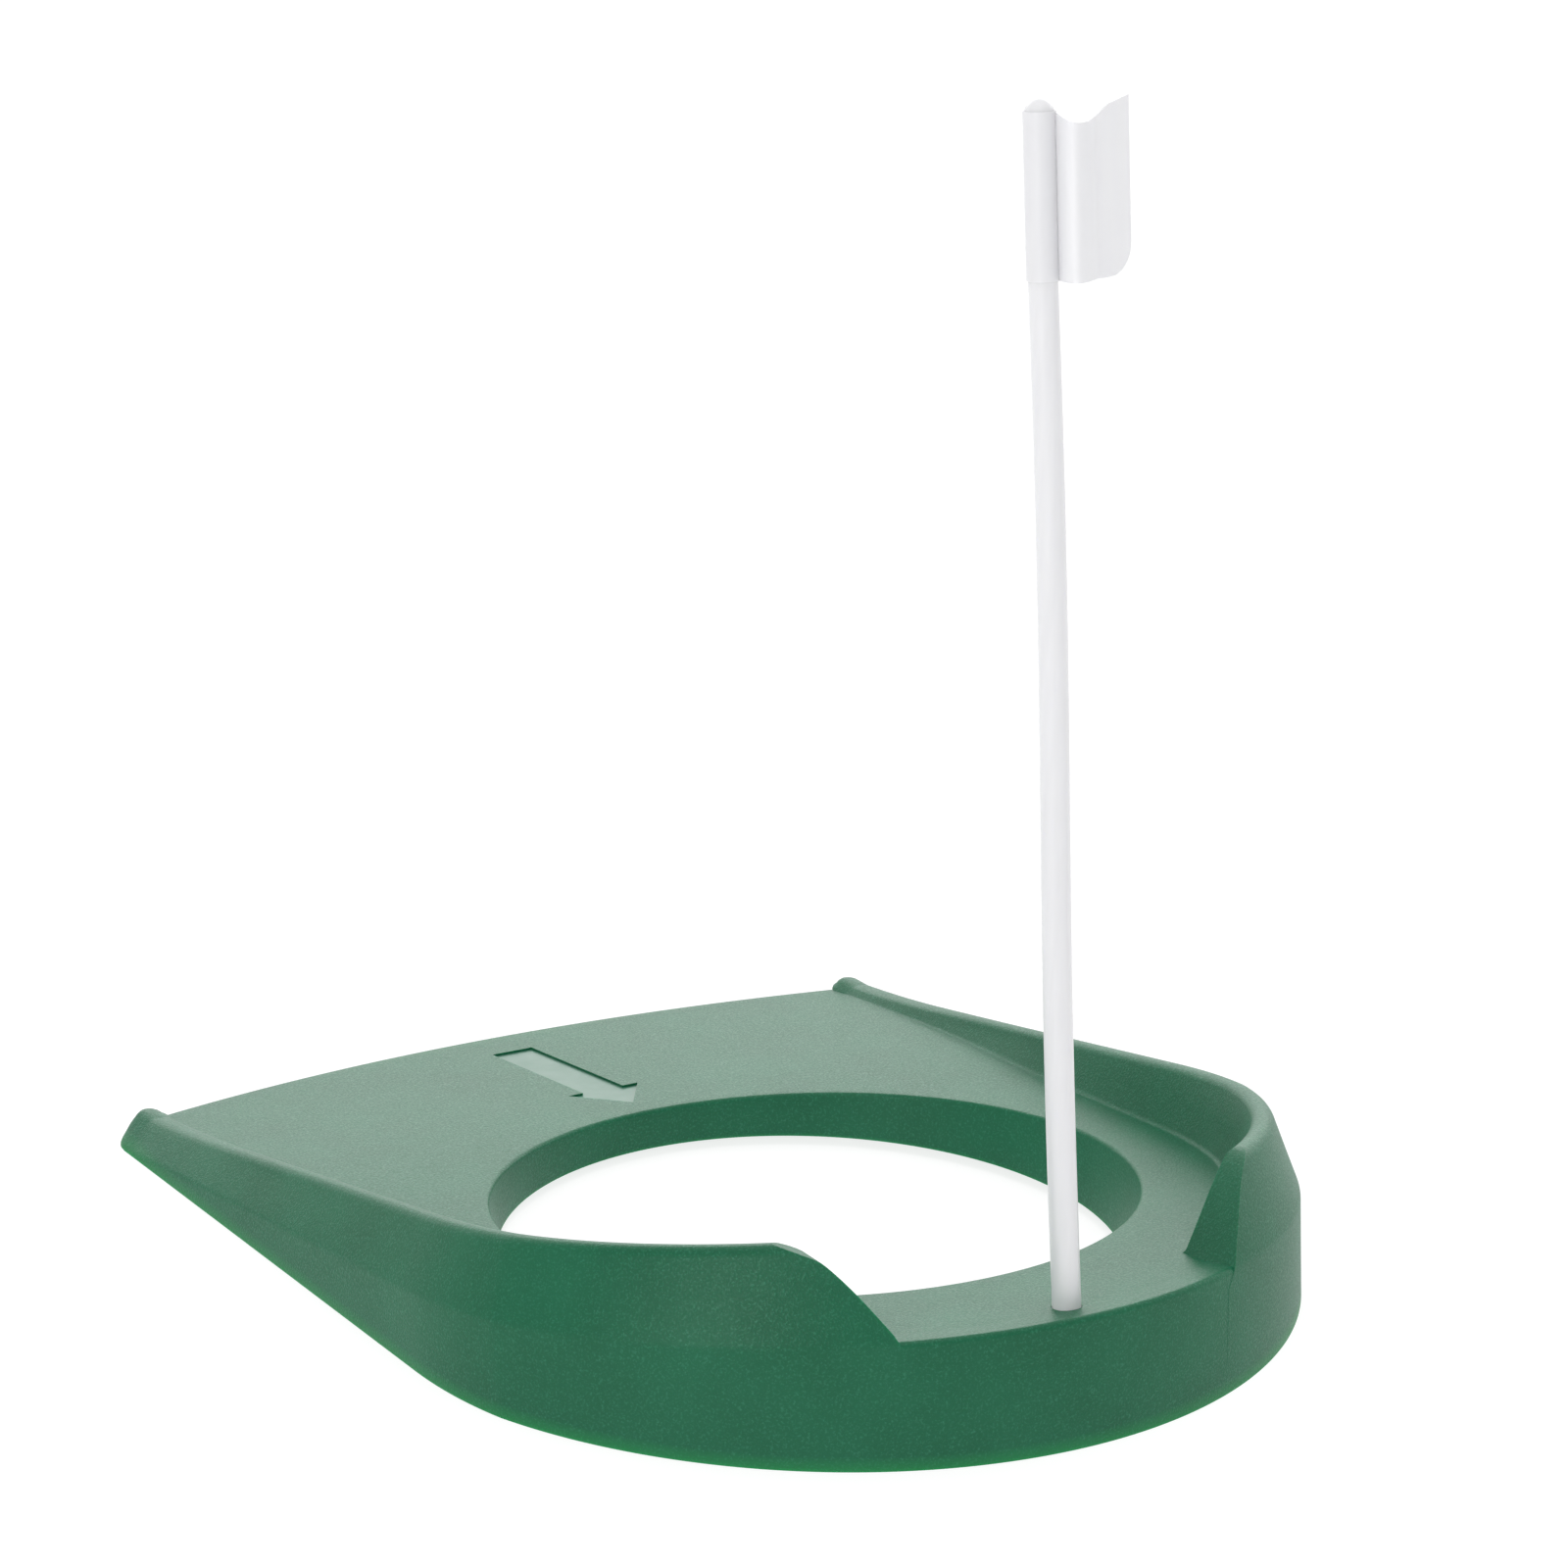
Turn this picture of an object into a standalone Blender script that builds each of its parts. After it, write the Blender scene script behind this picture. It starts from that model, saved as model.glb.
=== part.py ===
"""Lawn putting cup: a sloping green base with a cup hole, and a lift-out stick with a small flag.

Frame: metres, +Z up, +Y towards the entrance of the ramp.
The origin is on the ground, at the middle of the base's outline.
"""
import bpy
import bmesh
from math import acos, atan2, cos, pi, radians, sin, sqrt
from mathutils import Matrix, Vector

# Driving dimensions, in metres. Plan positions are measured from the cup hole's axis.
HOLE_Y = -0.01584          # the cup hole's axis, in the part's own frame
HOLE_FOOT = 0.0545         # radius at the ground; a regulation cup is 108 mm across
HOLE_HALF_X = 0.0568       # the sides flare a little towards the ramp
HOLE_HALF_Y = 0.0547
HOLE_FLARE_TOP = 0.0150    # height at which the flare is complete
SLEEVE_WALL = 0.0022
SLEEVE_BOTTOM = 0.0018
FLOOR_WALL = 0.0022        # thickness of the ramp's skin
CENTRE_Y = 0.0003          # axis of the round back
FRONT_Y = 0.1165           # middle of the curved front edge
FRONT_RADIUS = 0.270
NOSE_Y = 0.1017            # where each side wall starts to round off
NOSE_RADIUS = 0.0064

# Each line of the moulding follows a U: straight sides at +-X and a round back of radius R.
FOOT = (0.0828, 0.08516)
SKIRT = (0.08245, 0.08393)
LEAN_TOP = (0.0778, 0.07880)
CROWN_OUT = (0.0770, 0.07800)
CROWN_MID = (0.0758, 0.07680)
CROWN_IN = (0.0746, 0.07560)
WALL_IN_TOP = (0.0737, 0.07470)
WALL_IN_FOOT = (0.0700, 0.07200)
RAMP_EDGE = (0.0770, 0.08050)
HOLLOW_EDGE = (0.0800, 0.08160)

# Flagstick and flag
STICK_RADIUS = 0.0024
STICK_FOOT_Y = -0.0757     # where the stick's axis meets the ramp
STICK_FOOT_Z = 0.0211
STICK_LEAN = atan2(0.125, 1.0)
STICK_REACH = 0.1960       # from the ramp to the stick's tip
SOCKET_DEPTH = 0.0150
SOCKET_CLEARANCE = 0.0001
BOSS_RADIUS = 0.0049
BOSS_FLOOR = 0.0020
FLAG_TOP = 0.1940          # along the stick, from the ramp
FLAG_BOTTOM = 0.1675
FLAG_THICKNESS = 0.00035
LOOP_CLEARANCE = 0.00008
LOOP_WALL = 0.00027

# The arrow sunk into the ramp
ARROW_TAIL_Y = 0.1055
ARROW_BARB_Y = 0.0720
ARROW_TIP_Y = 0.0612
ARROW_SHAFT = 0.0042
ARROW_HEAD = 0.0074
ARROW_DEPTH = 0.0006


def ramp_z(y):
    """Height of the ramp: nearly plane, easing down to a thin front edge."""
    z = 0.01388 - 0.083 * y
    if y > 0.040:
        z -= 0.6 * (min(y, 0.070) - 0.040) ** 2
    if y > 0.070:
        z -= 0.036 * (y - 0.070)
    if y < -0.030:
        z += 0.455 * (y + 0.030) ** 2
    return z


def skirt_z(y):
    """Height at which the outer face starts to lean in."""
    return max(0.0006, 0.01253 - 0.120 * y)


def crown_z(y):
    """Height of the side wall's crown."""
    z = 0.02386 - 0.194 * y
    if y > 0.075:
        z += 1.5 * (y - 0.075) ** 2
    return z


# Scene and collections
for old in list(bpy.data.objects):
    bpy.data.objects.remove(old, do_unlink=True)
parts = bpy.data.collections.new("putting_cup")
tools = bpy.data.collections.new("putting_cup_cutters")
bpy.context.scene.collection.children.link(parts)
bpy.context.scene.collection.children.link(tools)


def material(name, colour, roughness, alpha=1.0):
    mat = bpy.data.materials.new(name)
    mat.use_nodes = True
    shader = mat.node_tree.nodes["Principled BSDF"]
    shader.inputs["Base Color"].default_value = (*colour, 1.0)
    shader.inputs["Roughness"].default_value = roughness
    shader.inputs["Metallic"].default_value = 0.0
    shader.inputs["Alpha"].default_value = alpha
    return mat


def add_object(name, bm, collection):
    """Turn a bmesh into an object whose faces point out."""
    bmesh.ops.recalc_face_normals(bm, faces=bm.faces)
    mesh = bpy.data.meshes.new(name)
    bm.to_mesh(mesh)
    bm.free()
    obj = bpy.data.objects.new(name, mesh)
    collection.objects.link(obj)
    if collection == tools:
        obj.hide_render = True
        obj.display_type = "WIRE"
    return obj


def prism(name, outline, low, high, collection):
    """A flat outline in plan, extruded from one height to another."""
    bm = bmesh.new()
    face = bm.faces.new([bm.verts.new((x, y, low)) for x, y in outline])
    grown = bmesh.ops.extrude_face_region(bm, geom=[face])
    moved = [item for item in grown["geom"] if isinstance(item, bmesh.types.BMVert)]
    bmesh.ops.translate(bm, verts=moved, vec=(0.0, 0.0, high - low))
    return add_object(name, bm, collection)


def cross_prism(name, outline, low, high, along, collection):
    """The same, for an outline in the XZ plane (along "Y") or in the YZ plane (along "X")."""
    bm = bmesh.new()
    if along == "X":
        face = bm.faces.new([bm.verts.new((low, a, b)) for a, b in outline])
        step = (high - low, 0.0, 0.0)
    else:
        face = bm.faces.new([bm.verts.new((a, low, b)) for a, b in outline])
        step = (0.0, high - low, 0.0)
    grown = bmesh.ops.extrude_face_region(bm, geom=[face])
    moved = [item for item in grown["geom"] if isinstance(item, bmesh.types.BMVert)]
    bmesh.ops.translate(bm, verts=moved, vec=step)
    return add_object(name, bm, collection)


def loft(name, rings, collection):
    """Skin between unlike sections that have the same number of points, with flat ends."""
    bm = bmesh.new()
    rows = [[bm.verts.new(point) for point in ring] for ring in rings]
    count = len(rows[0])
    for one, two in zip(rows, rows[1:]):
        for i in range(count):
            j = (i + 1) % count
            bm.faces.new((one[i], one[j], two[j], two[i]))
    bm.faces.new(rows[0])
    bm.faces.new(list(reversed(rows[-1])))
    return add_object(name, bm, collection)


def cylinder(name, radius, low, high, sides, collection):
    bm = bmesh.new()
    bmesh.ops.create_cone(
        bm, cap_ends=True, segments=sides, radius1=radius, radius2=radius, depth=high - low
    )
    bmesh.ops.translate(bm, verts=bm.verts, vec=(0.0, 0.0, (high + low) / 2.0))
    return add_object(name, bm, collection)


def cup_shape(name, grow, low, high, collection):
    """The cup hole's shape, grown by a wall thickness: round at the ground, wider above."""
    rings = []
    for z in (low, 0.0, HOLE_FLARE_TOP, high):
        share = max(0.0, min(1.0, z / HOLE_FLARE_TOP))
        half_x = HOLE_FOOT + (HOLE_HALF_X - HOLE_FOOT) * share + grow
        half_y = HOLE_FOOT + (HOLE_HALF_Y - HOLE_FOOT) * share + grow
        turns = [2.0 * pi * i / 96.0 for i in range(96)]
        rings.append([(half_x * cos(t), half_y * sin(t), z) for t in turns])
    return loft(name, rings, collection)


def turned(name, profile, steps, collection):
    """A profile of (radius, height) points, top to bottom, turned about Z by a Screw."""
    bm = bmesh.new()
    line = [bm.verts.new((r, 0.0, z)) for r, z in profile]
    for one, two in zip(line, line[1:]):
        bm.edges.new((one, two))
    mesh = bpy.data.meshes.new(name)
    bm.to_mesh(mesh)
    bm.free()
    obj = bpy.data.objects.new(name, mesh)
    collection.objects.link(obj)
    screw = obj.modifiers.new("turn", "SCREW")
    screw.axis = "Z"
    screw.angle = 2.0 * pi
    screw.steps = steps
    screw.render_steps = steps
    screw.use_merge_vertices = True
    screw.merge_threshold = 0.00001
    return obj


def settle(obj):
    """Replace an object's mesh by what its modifiers make of it."""
    bpy.context.view_layer.update()
    graph = bpy.context.evaluated_depsgraph_get()
    mesh = bpy.data.meshes.new_from_object(obj.evaluated_get(graph))
    obj.modifiers.clear()
    obj.data = mesh


def combine(obj, other, operation):
    """Join, cut or intersect, and drop the second shape."""
    boolean = obj.modifiers.new(operation.lower(), "BOOLEAN")
    boolean.operation = operation
    boolean.solver = "EXACT"
    boolean.object = other
    settle(obj)
    bpy.data.objects.remove(other, do_unlink=True)


# Plan lines -----------------------------------------------------------------

def u_point(line, station):
    """A point of a U line. Stations 0 to 1 go round the back, from its middle to the right
    side, and 1 to 2 go forward along that side to the nose. Negative ones are on the left."""
    side, radius = line
    turn = abs(station)
    join = acos(side / radius)
    if turn <= 1.0:
        angle = -pi / 2.0 + turn * (pi / 2.0 - join)
        x = radius * cos(angle)
        y = CENTRE_Y + radius * sin(angle)
    else:
        start = CENTRE_Y - radius * sin(join)
        x = side
        y = start + (turn - 1.0) * (NOSE_Y - start)
    return (x if station >= 0.0 else -x), y


def front_y(x):
    return FRONT_Y - FRONT_RADIUS + sqrt(FRONT_RADIUS ** 2 - x ** 2)


def plan(line, setback=0.0):
    """Closed outline: a U line from the right-hand side round the back to the left-hand side,
    then the curved front edge back to the start."""
    points = []
    side = line[0]
    last = front_y(side) - setback
    steps = [2.0, 1.75, 1.5, 1.25] + [1.0 - i / 28.0 for i in range(28)]
    steps += [0.0] + [-s for s in reversed(steps)]
    for station in steps:
        x, y = u_point(line, station)
        points.append((x, min(y, last)))
    for i in range(1, 24):
        x = -side + 2.0 * side * i / 24.0
        points.append((x, front_y(x) - setback))
    return points


def stations(fine):
    """Right nose, round the back, to the left nose, with finer steps near the back gap."""
    right = [2.0 - i / 8.0 for i in range(8)]
    right += [1.0 - i / fine for i in range(int(fine))]
    return right + [0.0] + [-s for s in reversed(right)]


# Base -----------------------------------------------------------------------

def skirt_ring(station):
    """Section of the upright skirt and of the shelf that runs in from it."""
    gap = abs(u_point(SKIRT, station)[0]) < 0.031
    edge = 0.0010 if gap else 0.00012
    low = [u_point(FOOT, station), u_point(SKIRT, station), u_point(WALL_IN_FOOT, station)]
    (fx, fy), (sx, sy), (ix, iy) = low
    inward = Vector((ix - sx, iy - sy)).normalized()
    crown = skirt_z(sy)
    ring = [(fx + (fx - sx) * 0.15, fy + (fy - sy) * 0.15, -0.002)]
    for turn in (0.0, 30.0, 60.0, 90.0):
        back = edge * (1.0 - cos(radians(turn)))
        drop = edge * (1.0 - sin(radians(turn)))
        ring.append((sx + inward.x * back, sy + inward.y * back, crown - drop))
    ring.append((ix, iy, max(ramp_z(iy) - 0.0006, 0.0005)))
    ring.append((ix, iy, -0.002))
    return ring


def wall_ring(station):
    """Section of the leaning side wall, from the skirt's edge over the crown to the ramp."""
    ring = []
    lines = (SKIRT, LEAN_TOP, CROWN_OUT, CROWN_MID, CROWN_IN, WALL_IN_TOP, WALL_IN_FOOT)
    drops = (None, 0.0015, 0.0004, 0.0, 0.0003, 0.0013, None)
    for line, drop in zip(lines, drops):
        x, y = u_point(line, station)
        if line is SKIRT:
            shrink = 1.0 - 0.00006 / sqrt(x * x + y * y)
            ring.append((x * shrink, y * shrink, skirt_z(y) - 0.00005))
        elif line is WALL_IN_FOOT:
            ring.append((x, y, max(ramp_z(y) - 0.0004, 0.0004)))
        else:
            ring.append((x, y, crown_z(y) - drop))
    for line in (WALL_IN_FOOT, FOOT):
        x, y = u_point(line, station)
        pull = 1.0 - 0.0035 / sqrt(x * x + y * y) if line is FOOT else 1.0
        ring.append((x * pull, y * pull, -0.003))
    return ring


def nose(sign):
    """The rounded front end of a side wall."""
    _, y = u_point(CROWN_MID, 2.0)
    top = crown_z(NOSE_Y)
    profile = [
        (0.0, top),
        (0.0012, top - 0.00025),
        (0.0021, top - 0.0012),
        (0.0060, 0.0011),
        (0.00635, 0.0004),
        (NOSE_RADIUS + 0.0001, -0.0036),
        (0.0, -0.0036),
    ]
    obj = turned("nose", profile, 32, tools)
    settle(obj)
    obj.data.transform(Matrix.Translation((sign * (FOOT[0] - NOSE_RADIUS), NOSE_Y, 0.0)))
    return obj


def gap_cutter():
    """The S-shaped ends of the wall at the back gap, one straight cut from back to front."""
    side = [
        (0.0314, 0.0100), (0.0314, 0.0185), (0.0330, 0.0214), (0.0348, 0.0250),
        (0.0368, 0.0289), (0.0387, 0.0320), (0.0404, 0.0341), (0.0423, 0.0354),
        (0.0446, 0.0361), (0.0480, 0.0367), (0.0520, 0.0400),
    ]
    outline = [(-x, z) for x, z in reversed(side)] + side
    return cross_prism("gap", outline, -0.100, -0.030, "Y", tools)


def ramp_block(name, line, low, drop, setback, collection):
    """Everything below the ramp's surface, less a constant depth, inside a plan outline."""
    heights = [-0.095 + 0.005 * i for i in range(44)]
    profile = [(y, ramp_z(y) - drop) for y in heights]
    profile = [(heights[-1], low - 0.001), (heights[0], low - 0.001)] + profile
    block = cross_prism(name, profile, -0.095, 0.095, "X", collection)
    combine(block, prism("plan", plan(line, setback), low, 0.060, tools), "INTERSECT")
    return block


def wall_hollow(sign):
    """The slot moulded up into a side wall from below."""
    rings = []
    for i in range(23):
        station = 0.50 + i * (1.42 - 0.50) / 22.0
        _, middle = u_point(CROWN_MID, station)
        top = crown_z(middle) - 0.0045
        low = skirt_z(middle)
        rise = min(1.0, max(0.0, (top - low) / (crown_z(middle) - low)))
        out_low = (SKIRT[0] - 0.0026, SKIRT[1] - 0.0026)
        out_top = (
            out_low[0] - (SKIRT[0] - LEAN_TOP[0]) * rise,
            out_low[1] - (SKIRT[1] - LEAN_TOP[1]) * rise,
        )
        in_low = (WALL_IN_FOOT[0] + 0.0026, WALL_IN_FOOT[1] + 0.0026)
        ring = []
        for line, z in ((out_low, -0.004), (out_low, low), (out_top, top)):
            x, y = u_point(line, station)
            ring.append((sign * x, y, z))
        in_top = (in_low[0] + 0.0012, in_low[1] + 0.0006)
        for line, z in ((in_top, top), (in_low, ramp_z(middle) - 0.003), (in_low, -0.004)):
            x, y = u_point(line, station)
            ring.append((sign * x, y, z))
        rings.append(ring)
    return loft("wall_hollow", rings, tools)


def stick_axis():
    """Places a shape drawn along Z onto the leaning axis of the stick."""
    lean = Matrix.Rotation(-STICK_LEAN, 4, "X")
    return Matrix.Translation((0.0, STICK_FOOT_Y, STICK_FOOT_Z)) @ lean


def arrow_cutter():
    outline = [
        (-ARROW_SHAFT, ARROW_TAIL_Y), (-ARROW_SHAFT, ARROW_BARB_Y), (-ARROW_HEAD, ARROW_BARB_Y),
        (0.0, ARROW_TIP_Y), (ARROW_HEAD, ARROW_BARB_Y), (ARROW_SHAFT, ARROW_BARB_Y),
        (ARROW_SHAFT, ARROW_TAIL_Y),
    ]
    block = prism("arrow", outline, -0.01, 0.03, tools)
    heights = [0.050 + 0.005 * i for i in range(15)]
    floor = [(y, ramp_z(y) - ARROW_DEPTH) for y in heights]
    floor = floor + [(heights[-1], 0.028), (heights[0], 0.028)]
    combine(block, cross_prism("floor", floor, -0.02, 0.02, "X", tools), "INTERSECT")
    return block


def build_base():
    base = ramp_block("base", RAMP_EDGE, -0.0025, 0.0, 0.0, parts)
    rim = loft("rim", [skirt_ring(s) for s in stations(30)], tools)
    wall = loft("wall", [wall_ring(s) for s in stations(40)], tools)
    combine(wall, gap_cutter(), "DIFFERENCE")
    combine(base, rim, "UNION")
    combine(base, wall, "UNION")
    for sign in (1.0, -1.0):
        combine(base, nose(sign), "UNION")
    combine(base, arrow_cutter(), "DIFFERENCE")

    hollow = ramp_block("hollow", HOLLOW_EDGE, -0.004, FLOOR_WALL, 0.004, tools)
    for sign in (1.0, -1.0):
        combine(hollow, wall_hollow(sign), "UNION")
    combine(hollow, cup_shape("sleeve", SLEEVE_WALL, -0.02, 0.05, tools), "DIFFERENCE")
    boss = cylinder("boss", BOSS_RADIUS, -SOCKET_DEPTH - BOSS_FLOOR, 0.010, 32, tools)
    boss.data.transform(stick_axis())
    combine(hollow, boss, "DIFFERENCE")
    for angle in (-38.0, 12.0, 52.0, 128.0, 168.0, 218.0):
        turn = radians(angle)
        out = Vector((cos(turn), sin(turn)))
        side = Vector((-out.y, out.x)) * 0.0009
        near = out * (HOLE_HALF_X + 0.001)
        far = out * 0.092
        outline = [near - side, far - side, far + side, near + side]
        rib = prism("rib", [(p.x, p.y) for p in outline], 0.0012, 0.06, tools)
        combine(hollow, rib, "DIFFERENCE")
    combine(base, hollow, "DIFFERENCE")

    combine(base, cup_shape("cup", 0.0, -0.02, 0.05, tools), "DIFFERENCE")
    step = cylinder("step", HOLE_FOOT + 0.0034, -0.02, SLEEVE_BOTTOM, 96, tools)
    combine(base, step, "DIFFERENCE")
    socket = cylinder("socket", STICK_RADIUS + SOCKET_CLEARANCE, -SOCKET_DEPTH, 0.02, 48, tools)
    socket.data.transform(stick_axis())
    combine(base, socket, "DIFFERENCE")
    ground = [(-0.1, -0.1), (0.1, -0.1), (0.1, 0.15), (-0.1, 0.15)]
    combine(base, prism("ground", ground, -0.05, 0.0, tools), "DIFFERENCE")
    base.location = (0.0, HOLE_Y, 0.0)
    return base


# Flagstick and flag ---------------------------------------------------------

def build_flagstick():
    """A round rod with a domed tip, standing in the socket."""
    profile = []
    for i in range(7):
        turn = radians(90.0 - 15.0 * i)
        height = STICK_REACH - STICK_RADIUS + STICK_RADIUS * sin(turn)
        profile.append((max(STICK_RADIUS * cos(turn), 0.0), height))
    foot = -SOCKET_DEPTH + 0.0002
    profile += [(STICK_RADIUS, foot + 0.0004), (STICK_RADIUS - 0.0004, foot), (0.0, foot)]
    stick = turned("flagstick", profile, 40, parts)
    settle(stick)
    stick.matrix_world = Matrix.Translation((0.0, HOLE_Y, 0.0)) @ stick_axis()
    return stick


def flag_line(t):
    """The flag's wave in plan, about the stick's axis: out from the stick, then a curl."""
    away = Vector((0.545, 0.838))
    across = Vector((0.846, -0.533))
    reach = 0.0022 + 0.0119 * t
    depth = 0.0062 * sin(pi * min(t / 0.52, 1.0) ** 1.1) * (1.0 - t)
    depth += 0.0030 * t * (1.0 - t) - 0.0095 * max(0.0, t - 0.42) ** 1.5 * 1.9
    point = across * reach - away * depth
    return point.x, point.y


def build_flag():
    """A thin wavy sheet whose loop goes round the stick."""
    bm = bmesh.new()
    rows = []
    columns = 20
    levels = 12
    for i in range(columns + 1):
        t = i / columns
        x, y = flag_line(t)
        top = FLAG_TOP - 0.0016 * sin(pi * min(t / 0.72, 1.0)) + 0.0014 * max(0.0, t - 0.5) * 2.0
        low = FLAG_BOTTOM
        if t > 0.72:
            low += 0.0048 * (1.0 - sqrt(max(0.0, 1.0 - ((t - 0.72) / 0.28) ** 2)))
        rows.append([bm.verts.new((x, y, low + (top - low) * k / levels)) for k in range(levels + 1)])
    for one, two in zip(rows, rows[1:]):
        for k in range(levels):
            bm.faces.new((one[k], two[k], two[k + 1], one[k + 1]))
    flag = add_object("flag", bm, parts)
    shell = flag.modifiers.new("shell", "SOLIDIFY")
    shell.thickness = FLAG_THICKNESS
    shell.offset = 0.0
    shell.use_even_offset = True
    settle(flag)

    inner = STICK_RADIUS + LOOP_CLEARANCE
    loop = cylinder("loop", inner + LOOP_WALL, FLAG_BOTTOM, FLAG_TOP, 40, tools)
    combine(flag, loop, "UNION")
    combine(flag, cylinder("bore", inner, FLAG_BOTTOM - 0.01, FLAG_TOP + 0.01, 40, tools), "DIFFERENCE")
    flag.matrix_world = Matrix.Translation((0.0, HOLE_Y, 0.0)) @ stick_axis()
    return flag


green = material("green_plastic", (0.020, 0.130, 0.055), 0.42)
white = material("white_plastic", (0.86, 0.87, 0.90), 0.35)
milky = material("milky_sheet", (0.88, 0.89, 0.92), 0.30)
for built, look in ((build_base(), green), (build_flagstick(), white), (build_flag(), milky)):
    built.data.materials.clear()
    built.data.materials.append(look)
    built.data.shade_smooth()
    built.data.set_sharp_from_angle(angle=radians(28.0))
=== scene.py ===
"""Looks of the lawn putting cup: a satin green moulding, a white stick and a thin milky flag.

Everything is in metres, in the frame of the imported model. Plan positions of the moulding are
measured from the axis of the cup hole and shifted by HOLE_Y at the end.
"""
from math import acos, atan2, cos, pi, radians, sin, sqrt

import bmesh
import bpy
from mathutils import Matrix, Vector


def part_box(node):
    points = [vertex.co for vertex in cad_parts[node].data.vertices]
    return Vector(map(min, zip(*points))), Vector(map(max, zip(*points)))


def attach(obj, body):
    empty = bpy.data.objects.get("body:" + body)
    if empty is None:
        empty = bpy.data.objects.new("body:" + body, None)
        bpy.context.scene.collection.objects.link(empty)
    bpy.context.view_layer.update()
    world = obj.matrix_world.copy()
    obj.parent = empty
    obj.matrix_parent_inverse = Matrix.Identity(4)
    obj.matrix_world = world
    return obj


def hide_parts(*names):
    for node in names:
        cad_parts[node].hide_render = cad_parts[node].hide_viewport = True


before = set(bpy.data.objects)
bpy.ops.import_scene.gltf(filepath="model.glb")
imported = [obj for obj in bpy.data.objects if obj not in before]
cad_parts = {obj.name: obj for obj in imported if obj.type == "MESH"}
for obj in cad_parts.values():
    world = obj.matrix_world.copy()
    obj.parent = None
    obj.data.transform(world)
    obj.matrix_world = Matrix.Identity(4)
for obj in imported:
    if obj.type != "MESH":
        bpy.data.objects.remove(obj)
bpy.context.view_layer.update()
scene = bpy.context.scene

# Driving dimensions, in metres.
BACK_REACH = 0.08492                           # from the hole's axis to the back of the foot
HOLE_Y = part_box("base")[0][1] + BACK_REACH     # the hole's axis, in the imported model's frame
HOLE_FOOT = 0.0547         # radius of the hole at the ground
HOLE_HALF_X = 0.0570       # it flares a little towards the ramp
HOLE_HALF_Y = 0.0549
HOLE_FLARE_TOP = 0.0150
HOLE_ROUND = 0.0008        # rounding of the hole's top edge
SLEEVE_WALL = 0.0022
SLEEVE_BOTTOM = 0.0018
FLOOR_WALL = 0.0022
CENTRE_Y = 0.0003
FRONT_Y = 0.1165
FRONT_RADIUS = 0.270
FRONT_ROUND = 0.0007
NOSE_Y = 0.1017
NOSE_LEAD = 0.0042         # how far the top of a nose stands ahead of its foot's centre
RIM_HALF = 0.0360
BEND_START = 0.90          # stations between which a side runs into the round back
BEND_END = 1.10

# Lines of the moulding: straight sides at +-X and a round back of radius R.
FOOT = (0.0828, 0.08516)
SKIRT = (0.08245, 0.08393)
LEAN_TOP = (0.0778, 0.07880)
CROWN_OUT = (0.0771, 0.07810)
CROWN_MID = (0.0758, 0.07680)
CROWN_IN = (0.0741, 0.07510)
WALL_IN_TOP = (0.0736, 0.07460)
WALL_IN_FOOT = (0.0700, 0.07200)
RAMP_EDGE = (0.0770, 0.08050)
HOLLOW_EDGE = (0.0800, 0.08160)

# Each end of the wall at the back, as (distance from the middle, height).
GAP_SIDE = (
    (0.0314, -0.0060), (0.0314, 0.0185), (0.0330, 0.0214), (0.0348, 0.0250),
    (0.0368, 0.0289), (0.0387, 0.0320), (0.0404, 0.0341), (0.0423, 0.0354),
    (0.0446, 0.0361), (0.0480, 0.0367), (0.0520, 0.0400),
)
GAP_DEPTH = 0.070
GAP_LEFT_FROM = 0.0230     # height from which the left-hand end stands further out
GAP_LEFT_SLOPE = 0.20
GAP_LEFT_SHOULDER = 0.0022
RIB_ANGLES = (-38.0, 12.0, 52.0, 128.0, 168.0, 218.0)
RIB_HALF = 0.0009
RIB_REACH = 0.092
STEP_WIDTH = 0.0034

# Stick and flag
STICK_RADIUS = 0.0024
STICK_FOOT_Y = -0.0757
STICK_FOOT_Z = 0.0211
STICK_LEAN = atan2(0.125, 1.0)
STICK_REACH = 0.1960
STICK_BOW = 0.00032
SOCKET_DEPTH = 0.0150
SOCKET_CLEARANCE = 0.00014
BOSS_RADIUS = 0.0049
FLAG_TOP = 0.1940
FLAG_BOTTOM = 0.1675
FLAG_HALF = 0.00016
LOOP_INNER = STICK_RADIUS + 0.00006
LOOP_OUTER = STICK_RADIUS + 0.00026

# Camera, placed from the hole's axis; its lens is in millimetres
CAMERA_LENS = 132.70
CAMERA_PLACE = (-0.51043, -0.775616, 0.395775)
CAMERA_RIGHT = (0.8455312, -0.5328445, 0.0339671)
CAMERA_UP = (0.1407695, 0.2838392, 0.9484826)
CAMERA_BACK = (-0.5150349, -0.7971901, 0.3150031)

# Light
SKY_STRENGTH = 0.58
BAND_STRENGTH = 3.9

# The sunken arrow
ARROW_TAIL_Y = 0.1055
ARROW_BARB_Y = 0.0720
ARROW_TIP_Y = 0.0612
ARROW_SHAFT = 0.0042
ARROW_HEAD = 0.0074
ARROW_DEPTH = 0.00042


def ramp_z(y):
    """Height of the ramp."""
    z = 0.01388 - 0.083 * y
    if y > 0.040:
        z -= 0.6 * (min(y, 0.070) - 0.040) ** 2
    if y > 0.070:
        z -= 0.036 * (y - 0.070)
    if y < -0.030:
        z += 0.455 * (y + 0.030) ** 2
    return z


def skirt_z(y):
    """Height at which the outer face starts to lean in."""
    return max(0.0006, 0.01253 - 0.120 * y)


def crown_z(y):
    """Height of the side wall's crown."""
    z = 0.02386 - 0.194 * y
    if y > 0.075:
        z += 1.2 * (y - 0.075) ** 2
    return z


# Mesh tools -----------------------------------------------------------------

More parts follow.
